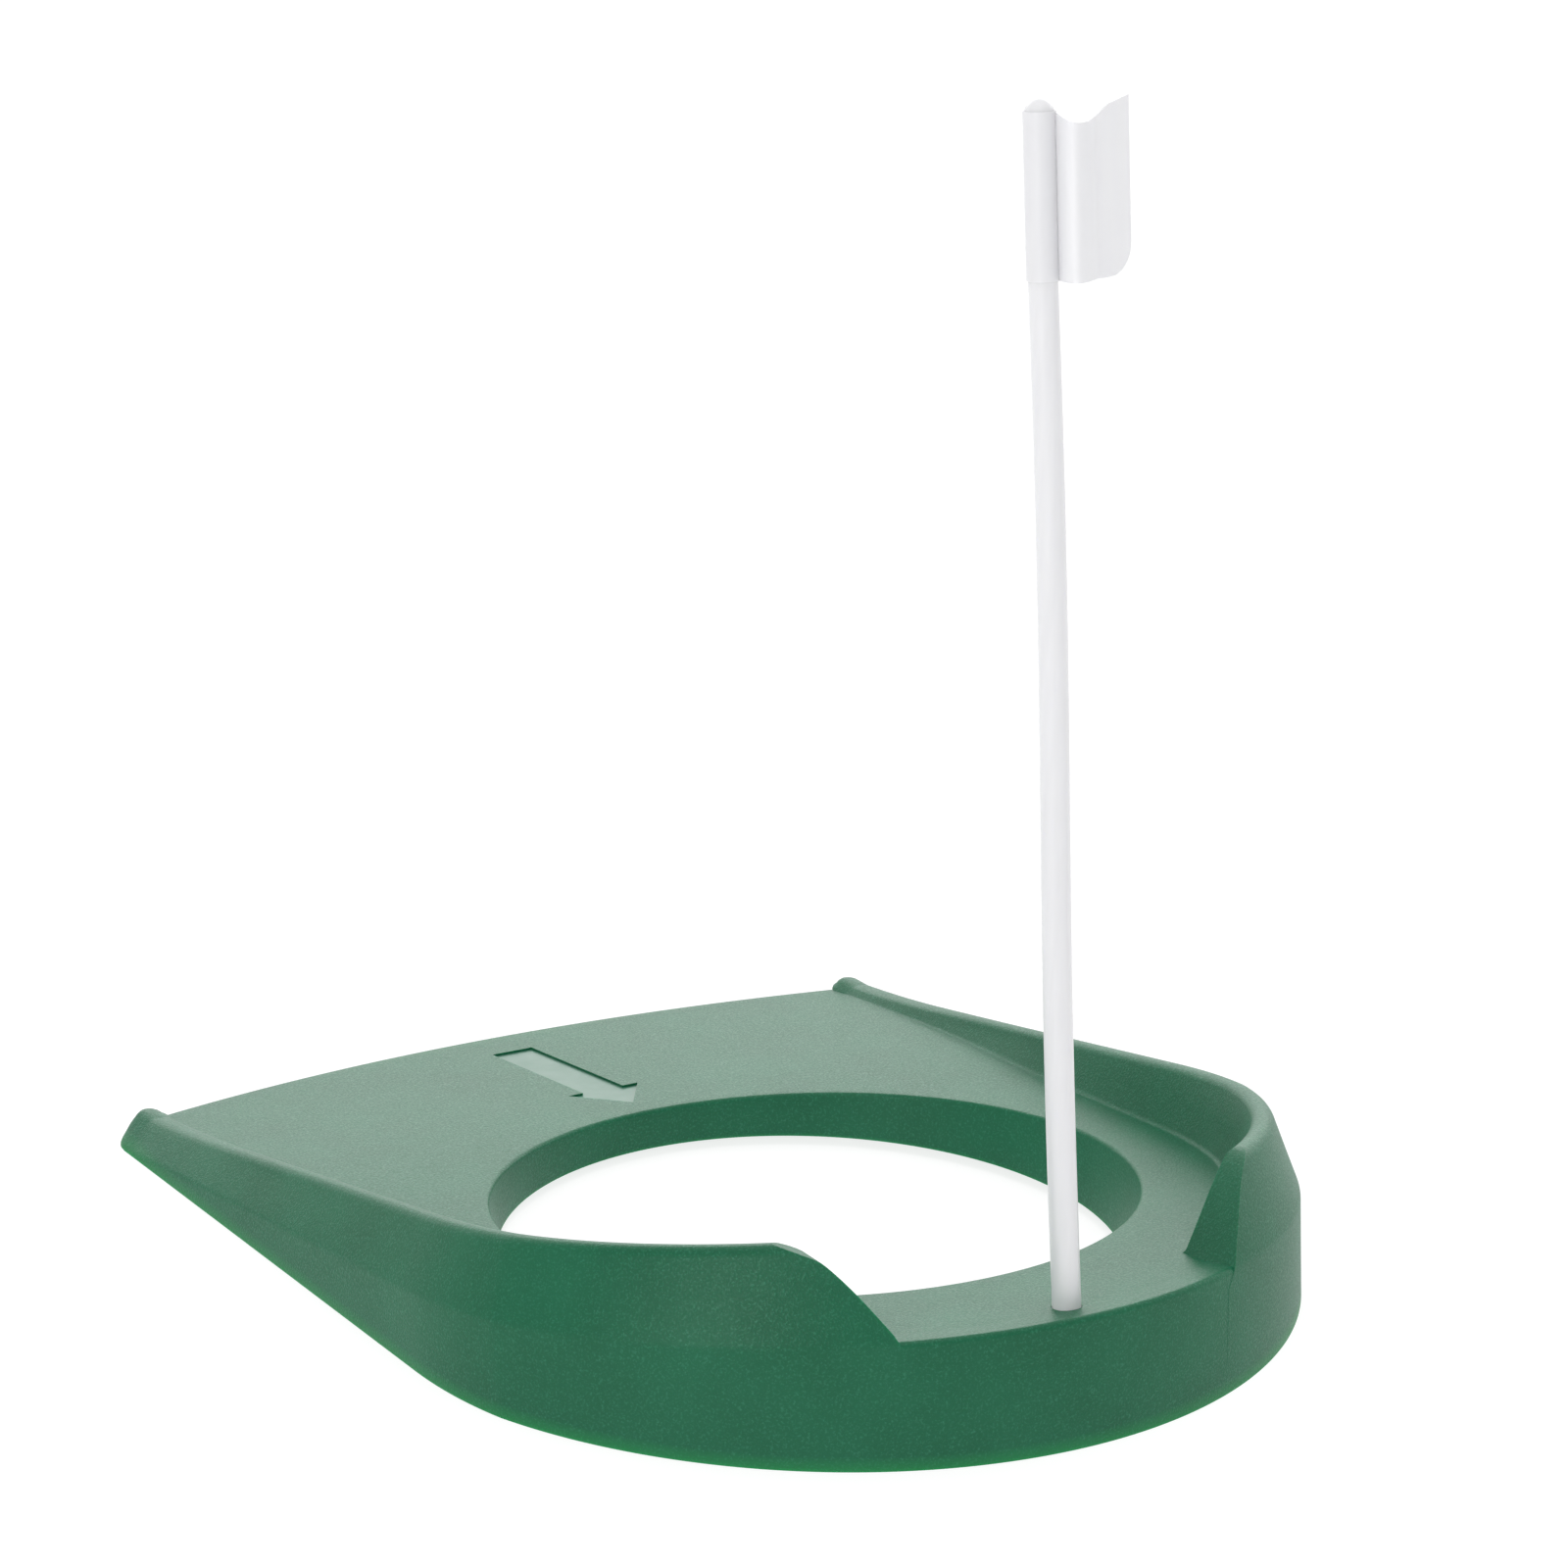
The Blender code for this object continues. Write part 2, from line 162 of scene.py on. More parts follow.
def add_object(name, bm):
    bmesh.ops.recalc_face_normals(bm, faces=bm.faces)
    mesh = bpy.data.meshes.new(name)
    bm.to_mesh(mesh)
    bm.free()
    obj = bpy.data.objects.new(name, mesh)
    scene.collection.objects.link(obj)
    return obj


def extruded(name, points, step):
    """A flat outline of 3-D points, extruded by a step."""
    bm = bmesh.new()
    face = bm.faces.new([bm.verts.new(p) for p in points])
    grown = bmesh.ops.extrude_face_region(bm, geom=[face])
    moved = [item for item in grown["geom"] if isinstance(item, bmesh.types.BMVert)]
    bmesh.ops.translate(bm, verts=moved, vec=step)
    return add_object(name, bm)


def loft(name, rings, closed=False):
    """Skin between sections that have the same number of points."""
    bm = bmesh.new()
    rows = [[bm.verts.new(point) for point in ring] for ring in rings]
    count = len(rows[0])
    pairs = list(zip(rows, rows[1:]))
    if closed:
        pairs.append((rows[-1], rows[0]))
    for one, two in pairs:
        for i in range(count):
            j = (i + 1) % count
            bm.faces.new((one[i], one[j], two[j], two[i]))
    if not closed:
        bm.faces.new(rows[0])
        bm.faces.new(list(reversed(rows[-1])))
    return add_object(name, bm)


def turned(name, profile, sides):
    """A profile of (radius, height) points turned about Z; its ends lie on the axis."""
    rings = []
    for radius, height in profile[1:-1]:
        rings.append([
            (radius * cos(2.0 * pi * i / sides), radius * sin(2.0 * pi * i / sides), height)
            for i in range(sides)
        ])
    bm = bmesh.new()
    rows = [[bm.verts.new(point) for point in ring] for ring in rings]
    for one, two in zip(rows, rows[1:]):
        for i in range(sides):
            j = (i + 1) % sides
            bm.faces.new((one[i], one[j], two[j], two[i]))
    for row, (_, height) in ((rows[0], profile[0]), (rows[-1], profile[-1])):
        tip = bm.verts.new((0.0, 0.0, height))
        for i in range(sides):
            bm.faces.new((row[i], row[(i + 1) % sides], tip))
    return add_object(name, bm)


def cylinder(name, radius, low, high, sides):
    bm = bmesh.new()
    bmesh.ops.create_cone(
        bm, cap_ends=True, segments=sides, radius1=radius, radius2=radius, depth=high - low
    )
    bmesh.ops.translate(bm, verts=bm.verts, vec=(0.0, 0.0, (high + low) / 2.0))
    return add_object(name, bm)


def combine(obj, other, operation):
    """Join, cut or intersect, keep the result as the object's mesh and drop the second shape."""
    boolean = obj.modifiers.new("combine", "BOOLEAN")
    boolean.operation = operation
    boolean.solver = "EXACT"
    boolean.object = other
    bpy.context.view_layer.update()
    graph = bpy.context.evaluated_depsgraph_get()
    mesh = bpy.data.meshes.new_from_object(obj.evaluated_get(graph))
    obj.modifiers.clear()
    obj.data = mesh
    bm = bmesh.new()
    bm.from_mesh(mesh)
    bmesh.ops.remove_doubles(bm, verts=bm.verts, dist=0.000002)
    bmesh.ops.dissolve_degenerate(bm, edges=bm.edges, dist=0.000002)
    bm.to_mesh(mesh)
    bm.free()
    bpy.data.objects.remove(other, do_unlink=True)


def curve_points(start, control, end, count):
    """Points of a quadratic curve, both ends included."""
    points = []
    for i in range(count):
        t = i / (count - 1)
        points.append(start * (1.0 - t) ** 2 + control * (2.0 * t * (1.0 - t)) + end * t ** 2)
    return points


def smooth(t):
    t = max(0.0, min(1.0, t))
    return t * t * (3.0 - 2.0 * t)


# Plan lines of the moulding -------------------------------------------------

def u_point(line, station):
    """A point of a U line: 0 to 1 from the middle of the back to the right-hand side, 1 to 2
    forward along that side to the nose. Negative stations are on the left. The corner
    between the two is eased into a curve."""
    turn = abs(station)
    if BEND_START < turn < BEND_END:
        t = (turn - BEND_START) / (BEND_END - BEND_START)
        start = Vector(raw_point(line, BEND_START))
        end = Vector(raw_point(line, BEND_END))
        corner = Vector(raw_point(line, 1.0))
        place = start * (1.0 - t) ** 2 + corner * (2.0 * t * (1.0 - t)) + end * t ** 2
        x, y = place
    else:
        x, y = raw_point(line, turn)
    return (x if station >= 0.0 else -x), y


def raw_point(line, turn):
    side, radius = line
    join = acos(side / radius)
    if turn <= 1.0:
        angle = -pi / 2.0 + turn * (pi / 2.0 - join)
        x = radius * cos(angle)
        y = CENTRE_Y + radius * sin(angle)
    else:
        start = CENTRE_Y - radius * sin(join)
        x = side
        y = start + (turn - 1.0) * (NOSE_Y - start)
    return x, y


def front_y(x):
    return FRONT_Y - FRONT_RADIUS + sqrt(FRONT_RADIUS ** 2 - x ** 2)


def plan(line, last, setback=0.0):
    """Closed outline of a U line, closed along the curved front edge or, where last is given,
    straight across."""
    points = []
    side = line[0]
    steps = [2.0, 1.75, 1.5, 1.25] + [1.0 - i / 48.0 for i in range(48)]
    steps += [0.0] + [-s for s in reversed(steps)]
    end = front_y(side) - setback if last is None else last
    points = [(side, end)]
    for station in steps:
        x, y = u_point(line, station)
        points.append((x, min(y, end - 0.001)))
    points.append((-side, end))
    if last is None:
        for i in range(1, 24):
            x = -side + 2.0 * side * i / 24.0
            points.append((x, front_y(x) - setback))
    return points


def stations(back_steps, side_steps):
    right = [2.0 - i / side_steps for i in range(side_steps)]
    right += [1.0 - i / back_steps for i in range(back_steps)]
    return right + [0.0] + [-s for s in reversed(right)]


def wall_section(station):
    """Half-section of the side wall from the foot, over the crown, to its toe on the ramp.
    Each point is a place on the moulding: (x, y, z)."""
    def at(line, z):
        x, y = u_point(line, station)
        return Vector((x, y, z if not callable(z) else z(y)))

    foot = at(FOOT, 0.0)
    skirt = at(SKIRT, skirt_z)
    crown = at(CROWN_MID, crown_z).z
    deck = at(WALL_IN_FOOT, ramp_z).z
    rise = max(crown - deck, 0.0004)
    ease = min(1.0, rise / 0.004)
    lean_top = at(LEAN_TOP, crown - 0.0016 * ease)
    in_top = at(WALL_IN_TOP, crown - 0.0012 * ease)
    steep = smooth((0.006 - rise) / 0.005)
    foot_line = (WALL_IN_FOOT[0] + 0.0024 * steep, WALL_IN_FOOT[1] + 0.0024 * steep)
    toe_line = (foot_line[0] - 0.0004 - 0.0006 * ease, foot_line[1] - 0.001)
    in_foot = at(foot_line, ramp_z)
    toe = at(toe_line, lambda y: ramp_z(y) - 0.00003)

    points = [foot]
    down = skirt + (foot - skirt) * min(0.45, 0.0007 / (foot - skirt).length)
    up = skirt + (lean_top - skirt) * min(0.45, 0.0007 / (lean_top - skirt).length)
    points += curve_points(down, skirt, up, 5)
    for t in (0.25, 0.5, 0.75):
        points.append(up.lerp(lean_top, t))
    points += curve_points(lean_top, at(CROWN_OUT, crown - 0.00003), at(CROWN_MID, crown), 8)
    points += curve_points(at(CROWN_MID, crown), at(CROWN_IN, crown - 0.00003), in_top, 8)[1:]
    near = in_foot + (in_top - in_foot) * min(0.30, 0.0008 * ease / (in_top - in_foot).length)
    points.append(in_top.lerp(near, 0.5))
    points += curve_points(near, in_foot, toe, 6)
    return points


def wall_ring(station):
    points = wall_section(station)
    low = [Vector((points[-1].x, points[-1].y, -0.003)), Vector((points[0].x, points[0].y, -0.003))]
    return points + low


def nose(sign):
    """The rounded end of a side wall: its section swung about the crown from the outer half
    to the inner half."""
    section = wall_section(2.0)
    axis_x, axis_y = u_point(CROWN_MID, 2.0)
    top = crown_z(NOSE_Y)
    outer = [(p.x - axis_x, p.z) for p in section if p.x > axis_x + 0.0001]
    inner = [(axis_x - p.x, p.z) for p in section if p.x < axis_x - 0.0001]
    outer.reverse()
    levels = 14

    def half(points, share):
        """Radius and height a share of the way along a half-section."""
        path = [(0.0, top)] + points + [(points[-1][0] + 0.00005, -0.003)]
        lengths = [0.0]
        for one, two in zip(path, path[1:]):
            lengths.append(lengths[-1] + sqrt((two[0] - one[0]) ** 2 + (two[1] - one[1]) ** 2))
        target = share * lengths[-1]
        for i in range(1, len(path)):
            if lengths[i] >= target - 1e-9:
                t = (target - lengths[i - 1]) / max(lengths[i] - lengths[i - 1], 1e-9)
                return (
                    path[i - 1][0] + (path[i][0] - path[i - 1][0]) * t,
                    path[i - 1][1] + (path[i][1] - path[i - 1][1]) * t,
                )
        return path[-1]

    sides = 48
    rows = []
    for k in range(1, levels + 1):
        share = k / levels
        out_r, out_z = half(outer, share)
        in_r, in_z = half([(r, max(z, -0.001)) for r, z in inner], share)
        row = []
        for i in range(sides + 1):
            turn = pi * i / sides
            mix = (1.0 - cos(turn)) / 2.0
            radius = out_r + (in_r - out_r) * mix
            z = out_z + (in_z - out_z) * mix
            lead = NOSE_LEAD * min(1.0, max(z, 0.0) / top)
            reach = min(radius, 0.0066) * sin(turn) + lead * min(1.0, 3.0 * sin(turn))
            row.append((sign * (axis_x + radius * cos(turn)), axis_y + reach, z))
        for i in range(sides - 1, 0, -4):
            turn = pi * i / sides
            mix = (1.0 - cos(turn)) / 2.0
            radius = 0.98 * (out_r + (in_r - out_r) * mix)
            z = out_z + (in_z - out_z) * mix - 0.00005
            row.append((sign * (axis_x + radius * cos(turn)), axis_y - 0.001, z))
        rows.append(row)
    bm = bmesh.new()
    rings = [[bm.verts.new(p) for p in row] for row in rows]
    tip = bm.verts.new((sign * axis_x, axis_y + NOSE_LEAD * 0.5, top))
    count = len(rings[0])
    for i in range(count):
        bm.faces.new((rings[0][i], rings[0][(i + 1) % count], tip))
    for one, two in zip(rings, rings[1:]):
        for i in range(count):
            j = (i + 1) % count
            bm.faces.new((one[i], two[i], two[j], one[j]))
    bm.faces.new(rings[-1])
    return add_object("nose", bm)


def rim_ring(station):
    """Section of the low rim in the gap at the back: the ramp runs out to a rounded edge."""
    fx, fy = u_point(FOOT, station)
    sx, sy = u_point(SKIRT, station)
    ix, iy = u_point(WALL_IN_FOOT, station)
    ring = [Vector((fx, fy, -0.003)), Vector((fx, fy, 0.0))]
    inward = Vector((ix - sx, iy - sy, 0.0)).normalized()
    out = Vector((sx, sy, 0.0)) - inward * 0.00002
    edge = 0.0010
    for i in range(7):
        turn = radians(15.0 * i)
        place = out + inward * (edge * (1.0 - cos(turn)))
        place.z = skirt_z(sy) - edge * (1.0 - sin(turn))
        ring.append(place)
    span = 0.0075
    for i in range(1, 9):
        t = i / 8.0
        place = out + inward * (edge + (span - edge) * t)
        lift = (skirt_z(sy) - ramp_z(sy)) * (1.0 - smooth(t)) - 0.00003 * t
        place.z = ramp_z(place.y) + lift
        ring.append(place)
    last = ring[-1]
    ring.append(Vector((last.x, last.y, -0.003)))
    return ring


def gap_cutter():
    """The S-shaped ends of the wall, one straight cut from back to front."""
    side = GAP_SIDE
    fine = []
    count = len(side)
    for i in range(1, count - 1):
        before, here, there = side[i - 1], side[i], side[i + 1]
        after = side[min(i + 2, count - 1)]
        for k in range(4):
            t = k / 4.0
            if i == 1:
                fine.append((
                    here[0] + (there[0] - here[0]) * t, here[1] + (there[1] - here[1]) * t
                ))
                continue
            point = []
            for n in range(2):
                a, b, c, d = before[n], here[n], there[n], after[n]
                point.append(0.5 * (
                    2.0 * b + (c - a) * t + (2.0 * a - 5.0 * b + 4.0 * c - d) * t * t
                    + (3.0 * b - a - 3.0 * c + d) * t ** 3
                ))
            fine.append(tuple(point))
    fine = [side[0]] + fine + [side[-1]]
    outline = []
    for x, z in reversed(fine):
        ease = GAP_LEFT_SLOPE * max(z - GAP_LEFT_FROM, 0.0)
        ease += GAP_LEFT_SHOULDER * smooth((z - 0.0335) / 0.0025)
        outline.append((-x - ease, z))
    outline += fine
    return extruded("gap", [(x, -0.100, z) for x, z in outline], (0.0, GAP_DEPTH, 0.0))


def ramp_solid():
    """The ramp down to below the ground, with a rounded front edge."""
    rings = []
    for i in range(121):
        x = -0.0805 + 0.161 * i / 120.0
        end = front_y(x)
        last = end - FRONT_ROUND
        ring = [(x, -0.087, -0.0025)]
        for j in range(97):
            y = -0.087 + (last + 0.087) * j / 96.0
            ring.append((x, y, ramp_z(y)))
        for turn in (22.5, 45.0, 67.5, 90.0):
            y = last + FRONT_ROUND * sin(radians(turn))
            ring.append((x, y, ramp_z(y) - FRONT_ROUND * (1.0 - cos(radians(turn)))))
        ring.append((x, end + 0.0001, -0.0025))
        rings.append(ring)
    ramp = loft("ramp", rings)
    outline = plan(RAMP_EDGE, 0.125)
    block = extruded("plan", [(x, y, -0.006) for x, y in outline], (0.0, 0.0, 0.07))
    combine(ramp, block, "INTERSECT")
    return ramp


def cup_point(turn, grow, z):
    """A point of the hole's wall, grown outwards: round at the ground, wider at the ramp."""
    share = smooth(z / HOLE_FLARE_TOP)
    half_x = HOLE_FOOT + (HOLE_HALF_X - HOLE_FOOT) * share + grow
    half_y = HOLE_FOOT + (HOLE_HALF_Y - HOLE_FOOT) * share + grow
    return half_x * cos(turn), half_y * sin(turn)


def cup_shape(name, grow):
    rings = []
    turns = [2.0 * pi * i / 192.0 for i in range(192)]
    for z in (-0.02, 0.0, 0.003, 0.006, 0.009, 0.012, 0.015, 0.05):
        rings.append([(*cup_point(t, grow, z), z) for t in turns])
    return loft(name, rings)


def hole_cutter():
    """The cup hole, its top edge rounded where it meets the sloping ramp."""
    levels = [(0.0, None, z) for z in (-0.020, 0.0, 0.002, 0.004, 0.006)]
    for turn in (0.0, 15.0, 30.0, 45.0, 60.0, 75.0, 88.0):
        back = HOLE_ROUND * (1.0 - cos(radians(turn)))
        drop = HOLE_ROUND * (1.0 - sin(radians(turn)))
        levels.append((back, -drop, 0.0))
    levels.append((HOLE_ROUND, 0.002, 0.0))
    levels.append((HOLE_ROUND, 0.030, 0.0))
    rings = []
    for grow, rise, height in levels:
        ring = []
        for i in range(192):
            turn = 2.0 * pi * i / 192.0
            if rise is None:
                ring.append((*cup_point(turn, grow, height), height))
                continue
            level = ramp_z(HOLE_HALF_Y * sin(turn))
            x, y = cup_point(turn, grow, level)
            ring.append((x, y, ramp_z(y) + rise))
        rings.append(ring)
    return loft("cup", rings)


def arrow_cutter():
    outline = [
        (-ARROW_SHAFT, ARROW_TAIL_Y), (-ARROW_SHAFT, ARROW_BARB_Y), (-ARROW_HEAD, ARROW_BARB_Y),
        (0.0, ARROW_TIP_Y), (ARROW_HEAD, ARROW_BARB_Y), (ARROW_SHAFT, ARROW_BARB_Y),
        (ARROW_SHAFT, ARROW_TAIL_Y),
    ]
    block = extruded("arrow", [(x, y, -0.01) for x, y in outline], (0.0, 0.0, 0.04))
    heights = [0.055 + 0.002 * i for i in range(28)]
    floor = [(-0.02, y, ramp_z(y) - ARROW_DEPTH) for y in heights]
    floor += [(-0.02, heights[-1], 0.028), (-0.02, heights[0], 0.028)]
    combine(block, extruded("floor", floor, (0.04, 0.0, 0.0)), "INTERSECT")
    return block


def stick_axis():
    lean = Matrix.Rotation(-STICK_LEAN, 4, "X")
    return Matrix.Translation((0.0, STICK_FOOT_Y, STICK_FOOT_Z)) @ lean


def hollow_solid():
    """The space under the ramp and up into the walls, less the sleeve, the boss and ribs."""
    heights = [-0.095 + 0.005 * i for i in range(44)]
    profile = [(-0.095, y, ramp_z(y) - FLOOR_WALL) for y in heights]
    profile = [(-0.095, heights[-1], -0.005), (-0.095, heights[0], -0.005)] + profile
    hollow = extruded("hollow", profile, (0.190, 0.0, 0.0))
    outline = plan(HOLLOW_EDGE, None, 0.004)
    block = extruded("plan", [(x, y, -0.004) for x, y in outline], (0.0, 0.0, 0.06))
    combine(hollow, block, "INTERSECT")
    for sign in (1.0, -1.0):
        combine(hollow, wall_hollow(sign), "UNION")
    combine(hollow, cup_shape("sleeve", SLEEVE_WALL), "DIFFERENCE")
    boss = cylinder("boss", BOSS_RADIUS, -SOCKET_DEPTH - 0.002, 0.010, 48)
    boss.data.transform(stick_axis())
    combine(hollow, boss, "DIFFERENCE")
    for angle in RIB_ANGLES:
        out = Vector((cos(radians(angle)), sin(radians(angle))))
        side = Vector((-out.y, out.x)) * RIB_HALF
        near = out * (HOLE_HALF_X + 0.001)
        far = out * RIB_REACH
        corners = (near - side, far - side, far + side, near + side)
        rib = extruded("rib", [(p.x, p.y, 0.0012) for p in corners], (0.0, 0.0, 0.06))
        combine(hollow, rib, "DIFFERENCE")
    return hollow


def wall_hollow(sign):
    rings = []
    for i in range(23):
        station = 0.50 + i * 0.92 / 22.0
        _, middle = u_point(CROWN_MID, station)
        top = crown_z(middle) - 0.0045
        low = skirt_z(middle)
        rise = min(1.0, max(0.0, (top - low) / (crown_z(middle) - low)))
        out_low = (SKIRT[0] - 0.0026, SKIRT[1] - 0.0026)
        out_top = (
            out_low[0] - (SKIRT[0] - LEAN_TOP[0]) * rise,
            out_low[1] - (SKIRT[1] - LEAN_TOP[1]) * rise,
        )
        in_low = (WALL_IN_FOOT[0] + 0.0026, WALL_IN_FOOT[1] + 0.0026)
        in_top = (in_low[0] + 0.0012, in_low[1] + 0.0006)
        levels = (
            (out_low, -0.004), (out_low, low), (out_top, top),
            (in_top, top), (in_low, ramp_z(middle) - 0.003), (in_low, -0.004),
        )
        ring = []
        for line, z in levels:
            x, y = u_point(line, station)
            ring.append((sign * x, y, z))
        rings.append(ring)
    return loft("wall_hollow", rings)


def build_base():
    base = ramp_solid()
    base.name = "moulding"
    rim_stations = [0.62 - 0.0155 * i for i in range(81)]
    rim = loft("rim", [rim_ring(s) for s in rim_stations if abs(u_point(FOOT, s)[0]) < RIM_HALF])
    combine(base, rim, "UNION")
    combine(base, arrow_cutter(), "DIFFERENCE")
    combine(base, hole_cutter(), "DIFFERENCE")
    socket = cylinder("socket", STICK_RADIUS + SOCKET_CLEARANCE, -SOCKET_DEPTH, 0.02, 64)
    socket.data.transform(stick_axis())
    combine(base, socket, "DIFFERENCE")

    wall = loft("wall", [wall_ring(s) for s in stations(140, 90)])
    combine(wall, gap_cutter(), "DIFFERENCE")
    combine(base, wall, "UNION")
    for sign in (1.0, -1.0):
        combine(base, nose(sign), "UNION")
    combine(base, hollow_solid(), "DIFFERENCE")
    step = cylinder("step", HOLE_FOOT + STEP_WIDTH, -0.02, SLEEVE_BOTTOM, 128)
    combine(base, step, "DIFFERENCE")
    ground = [(-0.1, -0.1, -0.05), (0.1, -0.1, -0.05), (0.1, 0.15, -0.05), (-0.1, 0.15, -0.05)]
    combine(base, extruded("ground", ground, (0.0, 0.0, 0.05)), "DIFFERENCE")
    base.data.transform(Matrix.Translation((0.0, HOLE_Y, 0.0)))
    return base


# Stick and flag -------------------------------------------------------------

def build_stick():
    """A moulded rod with a domed tip, very slightly bowed below the flag."""
    profile = [(0.0, STICK_REACH)]
    for i in range(1, 10):
        turn = radians(90.0 - 10.0 * i)
        profile.append((STICK_RADIUS * cos(turn), STICK_REACH - STICK_RADIUS * (1.0 - sin(turn))))
    steps = 60
    foot = -SOCKET_DEPTH + 0.0002
    top = STICK_REACH - STICK_RADIUS - 0.0005
    for i in range(steps + 1):
        profile.append((STICK_RADIUS, top + (foot + 0.0005 - top) * i / steps))
    profile += [(STICK_RADIUS - 0.00015, foot + 0.00015), (STICK_RADIUS - 0.0005, foot)]
    profile.append((0.0, foot))
    stick = turned("stick", profile, 64)
    across = Vector((0.846, -0.533, 0.0))
    for vert in stick.data.vertices:
        t = max(0.0, min(1.0, vert.co.z / FLAG_BOTTOM))
        vert.co -= across * (STICK_BOW * sin(2.0 * pi * t))
    stick.data.transform(Matrix.Translation((0.0, HOLE_Y, 0.0)) @ stick_axis())
    return stick


def flag_line(t):
    """The flag's wave in plan, about the stick's axis: out from the stick, then a curl."""
    away = Vector((0.545, 0.838))
    across = Vector((0.846, -0.533))
    reach = 0.0022 + 0.0119 * t
    depth = 0.0062 * sin(pi * min(t / 0.52, 1.0) ** 1.1) * (1.0 - t)
    depth += 0.0030 * t * (1.0 - t) - 0.0095 * max(0.0, t - 0.42) ** 1.5 * 1.9
    return across * reach - away * depth


def build_flag():
    """A thin wavy sheet whose loop goes round the stick."""
    line = [flag_line(i / 64.0) for i in range(65)]
    levels = 40
    rings = []
    for i, point in enumerate(line):
        t = i / 64.0
        before = line[max(i - 1, 0)]
        after = line[min(i + 1, 64)]
        along = (after - before).normalized()
        side = Vector((-along.y, along.x)) * FLAG_HALF
        top = FLAG_TOP - 0.0016 * sin(pi * min(t / 0.72, 1.0)) + 0.0014 * max(0.0, t - 0.5) * 2.0
        low = FLAG_BOTTOM
        if t > 0.72:
            low += 0.0048 * (1.0 - sqrt(max(0.0, 1.0 - ((t - 0.72) / 0.28) ** 2)))
        ring = []
        for k in range(levels + 1):
            z = low + (top - low) * k / levels
            ring.append((point.x + side.x, point.y + side.y, z))
        for k in range(levels, -1, -1):
            z = low + (top - low) * k / levels
            ring.append((point.x - side.x, point.y - side.y, z))
        rings.append(ring)
    flag = loft("flag_sheet", rings)
    loop = cylinder("loop", LOOP_OUTER, FLAG_BOTTOM, FLAG_TOP, 96)
    combine(flag, loop, "UNION")
    bore = cylinder("bore", LOOP_INNER, FLAG_BOTTOM - 0.01, FLAG_TOP + 0.01, 96)
    combine(flag, bore, "DIFFERENCE")
    flag.data.transform(Matrix.Translation((0.0, HOLE_Y, 0.0)) @ stick_axis())
    return flag


# Materials ------------------------------------------------------------------

class Nodes:
    """Short calls for building a material's node tree."""

    def __init__(self, name):
        self.mat = bpy.data.materials.new(name)
        self.mat.use_nodes = True
        self.tree = self.mat.node_tree
        self.shader = self.tree.nodes["Principled BSDF"]
        self.place = self.tree.nodes.new("ShaderNodeTexCoord").outputs["Object"]

    def link(self, source, target):
        self.tree.links.new(source, target)

    def noise(self, scale, detail=2.0, rough=0.5, stretch=None):
        node = self.tree.nodes.new("ShaderNodeTexNoise")
        node.inputs["Scale"].default_value = scale
        node.inputs["Detail"].default_value = detail
        node.inputs["Roughness"].default_value = rough
        source = self.place
        if stretch:
            mapping = self.tree.nodes.new("ShaderNodeMapping")
            mapping.inputs["Scale"].default_value = stretch
            self.link(source, mapping.inputs["Vector"])
            source = mapping.outputs["Vector"]
        self.link(source, node.inputs["Vector"])
        return node.outputs["Fac"]

    def map(self, value, low, high, to_low, to_high):
        node = self.tree.nodes.new("ShaderNodeMapRange")
        node.inputs["From Min"].default_value = low
        node.inputs["From Max"].default_value = high
        node.inputs["To Min"].default_value = to_low
        node.inputs["To Max"].default_value = to_high
        self.link(value, node.inputs["Value"])
        return node.outputs["Result"]

    def mix(self, fac, one, two):
        node = self.tree.nodes.new("ShaderNodeMix")
        node.data_type = "RGBA"
        self.link(fac, node.inputs["Factor"])
        for value, socket in ((one, node.inputs["A"]), (two, node.inputs["B"])):
            if isinstance(value, tuple):
                socket.default_value = (*value, 1.0)
            else:
                self.link(value, socket)
        return node.outputs["Result"]

    def height(self):
        node = self.tree.nodes.new("ShaderNodeSeparateXYZ")
        self.link(self.place, node.inputs["Vector"])
        return node.outputs["Z"]

    def bump(self, value, strength, distance):
        node = self.tree.nodes.new("ShaderNodeBump")
        node.inputs["Strength"].default_value = strength
        node.inputs["Distance"].default_value = distance
        self.link(value, node.inputs["Height"])
        self.link(node.outputs["Normal"], self.shader.inputs["Normal"])

    def set(self, **values):
        for key, value in values.items():
            self.shader.inputs[key.replace("_", " ")].default_value = value


def green_plastic():
    """Satin polypropylene with a fine sparkling grain; near the ground its base colour is painted a
    brighter green, standing in for light glowing through the thin bottom edges.
    """
    n = Nodes("green_plastic")
    grain = n.noise(2600.0, 2.0, 0.6)
    mottle = n.noise(60.0, 3.0, 0.5)
    patch = n.map(mottle, 0.3, 0.7, 0.0, 1.0)
    dark = n.mix(patch, (0.0030, 0.100, 0.044), (0.0050, 0.120, 0.055))
    body = n.mix(n.map(grain, 0.52, 0.72, 0.0, 0.70), dark, (0.026, 0.190, 0.104))
    # Painted light: over the lowest 2.6 mm the base colour turns a brighter, more saturated green,
    # standing in for light glowing through the thin edges.
    painted_glow = n.map(n.height(), 0.0002, 0.0026, 0.55, 0.0)
    colour = n.mix(painted_glow, body, (0.010, 0.240, 0.060))
    n.link(colour, n.shader.inputs["Base Color"])
    n.link(n.map(grain, 0.3, 0.7, 0.50, 0.36), n.shader.inputs["Roughness"])
    n.set(IOR=1.49, Specular_IOR_Level=0.28, Subsurface_Weight=0.22)
    n.set(Subsurface_Radius=(0.25, 1.0, 0.45), Subsurface_Scale=0.0025)
    n.bump(grain, 0.75, 0.00012)
    return n.mat


